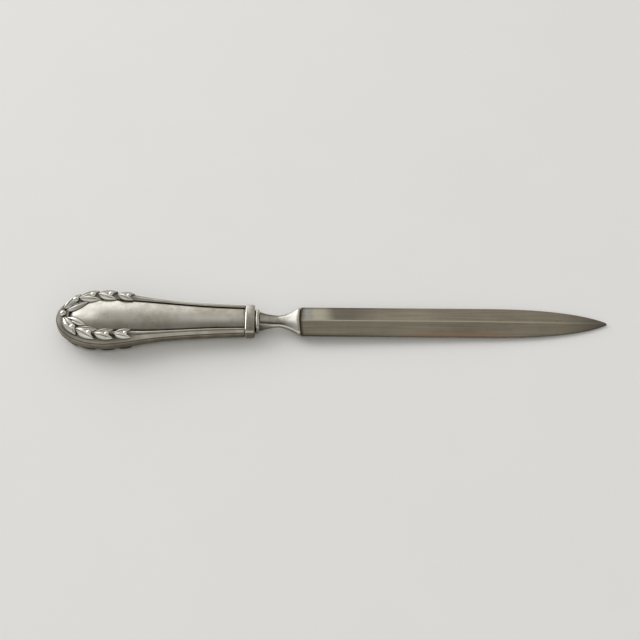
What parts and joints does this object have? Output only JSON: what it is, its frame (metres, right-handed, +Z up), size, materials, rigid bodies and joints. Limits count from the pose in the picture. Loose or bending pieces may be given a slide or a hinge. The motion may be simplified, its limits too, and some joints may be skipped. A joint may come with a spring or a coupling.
{
  "type": "letter opener",
  "caption": "Letter opener with a flat-oval hollow silver handle bordered with leaves, a waisted neck and a straight steel blade with a ridge and a point.",
  "frame": {"origin": "centre of the footprint, on the surface that the opener lies on", "axes": "+X from the butt of the handle to the tip of the blade, +Y across the blade, +Z up as it lies on its belly and tip"},
  "size_m": [0.17, 0.0208, 0.0085],
  "materials": {
    "handle_silver": "satin silver, darkened in the recesses",
    "mount_silver": "polished silver, lightly tarnished",
    "blade_steel": "ground steel with fine wear",
    "cement": "dull set cement"
  },
  "bodies": {
    "root": {"upper_handle_shell": "handle_silver", "lower_handle_shell": "handle_silver", "collar": "mount_silver", "mouth_plate": "mount_silver", "neck_ring": "mount_silver", "neck": "mount_silver", "blade": "blade_steel", "pitch_core": "cement"}
  },
  "joints": []
}
